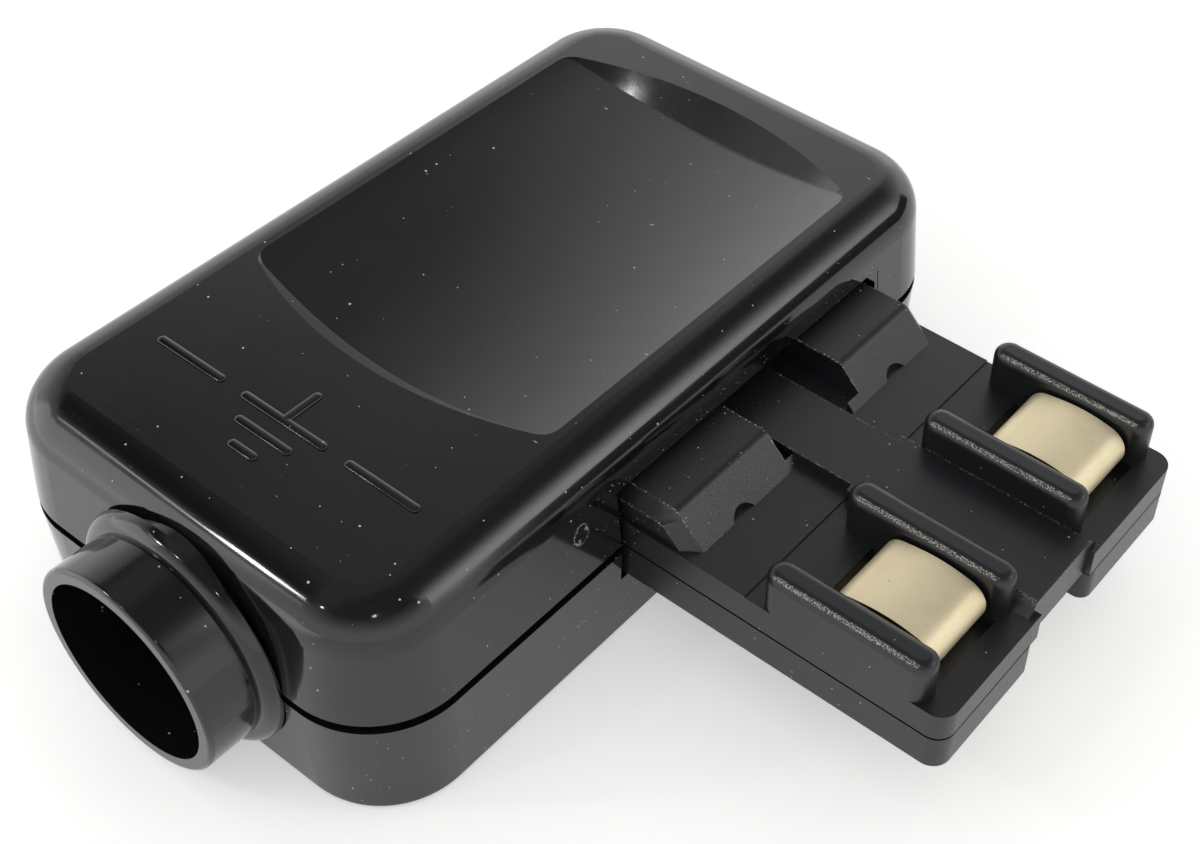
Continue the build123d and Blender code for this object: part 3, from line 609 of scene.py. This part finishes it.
def make_room(stage):
    """The room, as the polished shell mirrors it, and an even light for what isn't polished.

    It is brightest low down and fades towards a dark ceiling. Overhead on the left it is darker still. A soft
    lamp stands at the back right, over a dark edge, and a window at the front left.
    """
    world = bpy.data.worlds.new("studio_room")
    world.use_nodes = True
    world.cycles.sampling_method = "NONE"  # so that each kind of ray gets just its own level
    bpy.context.scene.world = world
    tree = world.node_tree
    tree.nodes.clear()
    direction = add(tree, "ShaderNodeTexCoord", output="Generated")
    x = add(tree, SPLIT, (direction,), output="X")
    y, z = x.node.outputs["Y"], x.node.outputs["Z"]

    # The sky from the horizon to the ceiling, lighter ahead, darker at the right and at the high left
    sky = add(tree, RANGE, (z, 0.3, 0.77, 1.31, stage.overhead))
    far = add(tree, RANGE, (y, 0.5, 0.64, 0.0, 0.4), **SOFT)
    far_left = add(tree, RANGE, (x, -0.3, -0.12, 1.0, 0.0), **SOFT)
    ahead = add(tree, MATH, (far, far_left), operation="MULTIPLY")
    rightward = add(tree, RANGE, (x, -0.3, 0.0, 0.0, -0.14), **SOFT)
    upper = add(tree, RANGE, (z, 0.4, 0.7, 0.0, 1.0), **SOFT)
    right = add(tree, MATH, (rightward, upper), operation="MULTIPLY")
    sky = add(tree, MATH, (sky, ahead), operation="ADD")
    sky = add(tree, MATH, (sky, right), operation="ADD")
    left = add(tree, VECTOR_MATH, (direction, compass(190.0, 0.0)), output="Value", operation="DOT_PRODUCT")
    dimmed = add(tree, RANGE, (left, 0.43, 0.64, 1.0, 0.12), **SOFT)
    high = add(tree, RANGE, (z, 0.6, 0.72, 0.0, 1.0), **SOFT)
    dim = add(tree, MIX, {"Factor": high, "A": 1.0, "B": dimmed}, data_type="FLOAT")
    sky = add(tree, MATH, (sky, dim), operation="MULTIPLY")

    # The soft lamp at the back right, cut off beyond the plug's end
    towards = add(tree, VECTOR_MATH, (direction, compass(33.0, 28.0)), output="Value", operation="DOT_PRODUCT")
    lobe = add(tree, MATH, (towards, 0.0), operation="MAXIMUM")
    lobe = add(tree, MATH, (lobe, 24.0), operation="POWER")
    past_end = add(tree, VECTOR_MATH, (direction, compass(115.0, 0.0)), output="Value", operation="DOT_PRODUCT")
    cut_off = add(tree, RANGE, (past_end, -0.03, 0.04, 0.0, 1.0), **SOFT)
    lamp = add(tree, MATH, (lobe, cut_off), operation="MULTIPLY")
    lamp = add(tree, MATH, (lamp, stage.back_lamp), operation="MULTIPLY")
    back = add(tree, MATH, (sky, lamp), operation="ADD")

    # The dark edge under it: a patch with four soft borders
    edge = add(tree, RANGE, (x, 0.28, 0.34, 0.0, 1.0), **SOFT)
    for value, start, end, low, top in ((y, 0.43, 0.47, 0.0, 1.0), (z, 0.31, 0.34, 1.0, 0.0),
                                        (z, -0.12, -0.06, 0.0, 1.0)):
        border = add(tree, RANGE, (value, start, end, low, top), **SOFT)
        edge = add(tree, MATH, (edge, border), operation="MULTIPLY")
    shade = add(tree, RANGE, (edge, 0.0, 1.0, 1.0, 0.07), **SOFT)
    back = add(tree, MATH, (back, shade), operation="MULTIPLY")

    # The window at the front left, to the left of a line across the room
    beside = add(tree, VECTOR_MATH, (direction, (-1.376, 1.0, 0.0)), output="Value", operation="DOT_PRODUCT")
    window = add(tree, RANGE, (beside, -0.02, 0.05, 0.0, 1.0), **SOFT)
    for value, start, end in ((z, 0.475, 0.5), (y, -0.3, -0.2)):
        border = add(tree, RANGE, (value, start, end, 1.0, 0.0), **SOFT)
        window = add(tree, MATH, (window, border), operation="MULTIPLY")
    mirrored = add(tree, MIX, {"Factor": window, "A": back, "B": stage.window}, data_type="FLOAT")

    # Glossy and transmission rays meet the room, the camera meets white, and all others an even light
    rays = add(tree, LIGHT_PATH, output="Is Glossy Ray").node.outputs
    seen = add(tree, MATH, (rays["Is Glossy Ray"], rays["Is Transmission Ray"]), operation="MAXIMUM")
    lit = add(tree, MIX, {"Factor": seen, "A": stage.room_light, "B": mirrored}, data_type="FLOAT")
    level = add(tree, MIX, {"Factor": rays["Is Camera Ray"], "A": lit, "B": 1.0}, data_type="FLOAT")
    shown = add(tree, "ShaderNodeBackground", {"Color": WHITE, "Strength": level})
    tree.links.new(shown, tree.nodes.new("ShaderNodeOutputWorld").inputs["Surface"])


def make_floor(stage):
    """A pale floor that the camera and mirrors see white, with a painted pool of window light that glows in front
    of the plug and to its left, and that keeps the object's shadow.
    """
    material, tree, coords = new_material("matt paper, white")
    fibre = add(tree, NOISE, {"Vector": coords, "Scale": per_metre(0.8), "Detail": 2.0}, output="Fac")
    rough = add(tree, RANGE, (fibre, 0.0, 1.0, 0.85, 0.95))
    rays = add(tree, LIGHT_PATH, output="Is Camera Ray").node.outputs
    seen = add(tree, MATH, (rays["Is Camera Ray"], rays["Is Glossy Ray"]), operation="MAXIMUM")
    seen = add(tree, MATH, (seen, rays["Is Transmission Ray"]), operation="MAXIMUM")
    x = add(tree, SPLIT, (coords,), output="X")
    # A painted pool of window light: the floor glows brighter in front of the plug and to its left, for camera and
    # mirror rays
    before = add(tree, RANGE, (x.node.outputs["Y"], -30.0 * MM, -90.0 * MM, 0.0, WINDOW_ON_FLOOR), **SOFT)
    leftward = add(tree, RANGE, (x, -40.0 * MM, 10.0 * MM, 1.0, 0.0), **SOFT)
    windowed = add(tree, MATH, (before, leftward), operation="MULTIPLY")
    lift = add(tree, MATH, (windowed, FLOOR_LIFT), operation="ADD")
    lift = add(tree, MATH, (seen, lift), operation="MULTIPLY")
    finish_material(material, tree, {"Base Color": stage.floor_colour, "Roughness": rough,
                                     "Emission Color": WHITE, "Emission Strength": lift})
    r, z = FLOOR_REACH, -FLOOR_DROP
    data = bpy.data.meshes.new("floor")
    data.from_pydata([(-r, -r, z), (r, -r, z), (r, r, z), (-r, r, z)], [], [(0, 1, 2, 3)])
    data.materials.append(material)
    floor = bpy.data.objects.new("floor", data)
    bpy.context.scene.collection.objects.link(floor)


def make_camera():
    """The photograph's camera, fitted to the plug's straight edges and circles."""
    data = bpy.data.cameras.new("camera")
    data.sensor_fit = "HORIZONTAL"
    data.sensor_width = 36.0
    data.lens = 56.982
    data.shift_x = -0.12745
    data.shift_y = -0.05527
    data.clip_start = 1 * MM
    data.clip_end = 20.0
    place = Vector((65.9, -64.838, 95.116)) * MM
    aim = Vector((13.226, 9.268, 10.0)) * MM
    roll = Quaternion((0.0, 0.0, 1.0), math.radians(3.4065))
    camera = bpy.data.objects.new("camera", data)
    camera.location = place
    camera.rotation_mode = "QUATERNION"
    camera.rotation_quaternion = (aim - place).to_track_quat("-Z", "Y") @ roll
    bpy.context.scene.collection.objects.link(camera)
    bpy.context.scene.camera = camera


class PLUG_OT_stage(bpy.types.Operator):
    """Makes the pale floor, the room, the lamps and the camera"""
    bl_idname = "plug.stage"
    bl_label = "Stage"

    def execute(self, context):
        stage = context.scene.plug_stage
        make_room(stage)
        make_floor(stage)
        for lamp in LAMPS:
            soft_box(*lamp)
        make_camera()
        context.scene.view_settings.view_transform = "Standard"
        return {"FINISHED"}


class PLUG_PT_looks(bpy.types.Panel):
    """Lists the plug's finishes, marks and stage"""
    bl_idname = "PLUG_PT_looks"
    bl_label = "Grounded plug"
    bl_space_type = "VIEW_3D"
    bl_region_type = "UI"
    bl_category = "Plug"

    def draw(self, context):
        for group in (context.scene.plug_finish, context.scene.plug_marks, context.scene.plug_stage):
            box = self.layout.box()
            for name in group.__annotations__:
                box.prop(group, name)
        for operator in OPERATORS:
            self.layout.operator(operator.bl_idname)


GROUPS = {"plug_finish": PlugFinish, "plug_marks": PlugMarks, "plug_stage": PlugStage}
OPERATORS = (PLUG_OT_shells, PLUG_OT_tongue, PLUG_OT_contacts, PLUG_OT_inside, PLUG_OT_symbol, PLUG_OT_corner,
             PLUG_OT_gate, PLUG_OT_stage)


def register():
    """Registers the classes and puts the settings on the scene."""
    for kind in (*GROUPS.values(), *OPERATORS, PLUG_PT_looks):
        bpy.utils.register_class(kind)
    for name, kind in GROUPS.items():
        setattr(bpy.types.Scene, name, PointerProperty(type=kind))


def unregister():
    """Takes the settings off the scene and unregisters the classes."""
    for name in GROUPS:
        delattr(bpy.types.Scene, name)
    for kind in reversed((*GROUPS.values(), *OPERATORS, PLUG_PT_looks)):
        bpy.utils.unregister_class(kind)


def main():
    """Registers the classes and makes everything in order."""
    register()
    bpy.ops.plug.shells()
    bpy.ops.plug.tongue()
    bpy.ops.plug.contacts()
    bpy.ops.plug.inside()
    bpy.ops.plug.symbol()
    bpy.ops.plug.corner()
    bpy.ops.plug.gate()
    bpy.ops.plug.stage()


if __name__ == "__main__":
    main()
